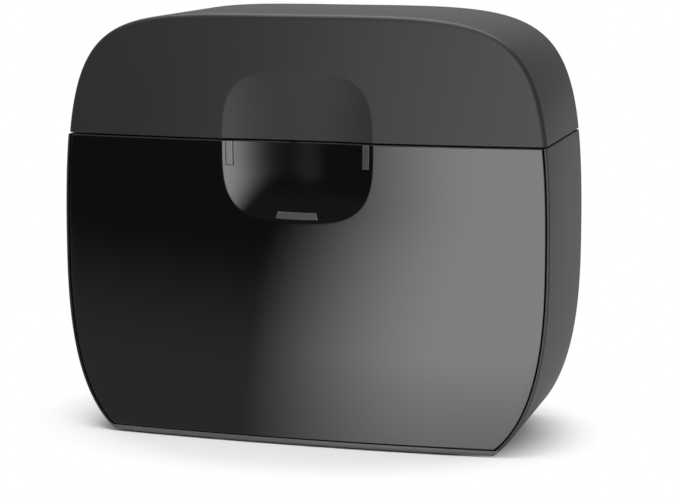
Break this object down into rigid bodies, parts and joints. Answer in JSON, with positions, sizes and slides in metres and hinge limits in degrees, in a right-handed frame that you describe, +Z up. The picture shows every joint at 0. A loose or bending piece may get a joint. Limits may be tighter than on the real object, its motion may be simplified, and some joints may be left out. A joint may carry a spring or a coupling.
{
  "type": "hearing aid case",
  "caption": "Upright rounded charging case for hearing aids: bowed gloss front panel, finger scoop with light windows, wells in a deck, and a lid hinged at the back.",
  "frame": {"origin": "centre of the rubber foot's face, where the case stands", "axes": "+X to the viewer's right, seen from the front; +Y to the back, where the hinge is; +Z up"},
  "size_m": [0.096, 0.0404, 0.0825],
  "materials": {
    "shell": "fine satin",
    "panel": "high gloss",
    "window": "frosted",
    "board": "solder mask",
    "led": "clear",
    "chip": "moulded",
    "deck": "fine texture",
    "soft_pad": "matt",
    "copper": "enamelled wire",
    "ferrite": "sintered",
    "steel": "plain",
    "socket": "stamped",
    "cradle": "moulded",
    "cell": "pouch foil",
    "magnet": "nickel plate",
    "foot": "matt",
    "hinge": "acetal"
  },
  "bodies": {
    "base": {"base_shell": "shell", "front_panel": "panel", "light_window_left": "window", "light_window_right": "window", "light_window_lower": "window", "light_board": "board", "main_board": "board", "status_leds": "led", "board_chips": "chip", "charging_tray": "deck", "well_pad_left": "soft_pad", "well_pad_right": "soft_pad", "charge_coil_left": "copper", "charge_coil_right": "copper", "ferrite_left": "ferrite", "ferrite_right": "ferrite", "tray_screws": "steel", "light_board_screws": "steel", "board_screws": "steel", "base_hinge_screws": "steel", "hinge_pin": "steel", "usb_socket": "socket", "battery_cradle": "cradle", "battery_cell": "cell", "base_magnets": "magnet", "foot_pad": "foot", "base_hinge": "hinge"},
    "lid": {"lid_shell": "shell", "lid_liner": "deck", "lid_hinge": "hinge", "lid_hinge_screws": "steel", "lid_magnets": "magnet"}
  },
  "joints": [
    {"name": "lid_hinge", "type": "hinge", "parent": "base", "child": "lid", "pos_m": [0, 0.0192, 0.0587], "axis": [-1, 0, 0], "range_deg": [0, 100]}
  ]
}
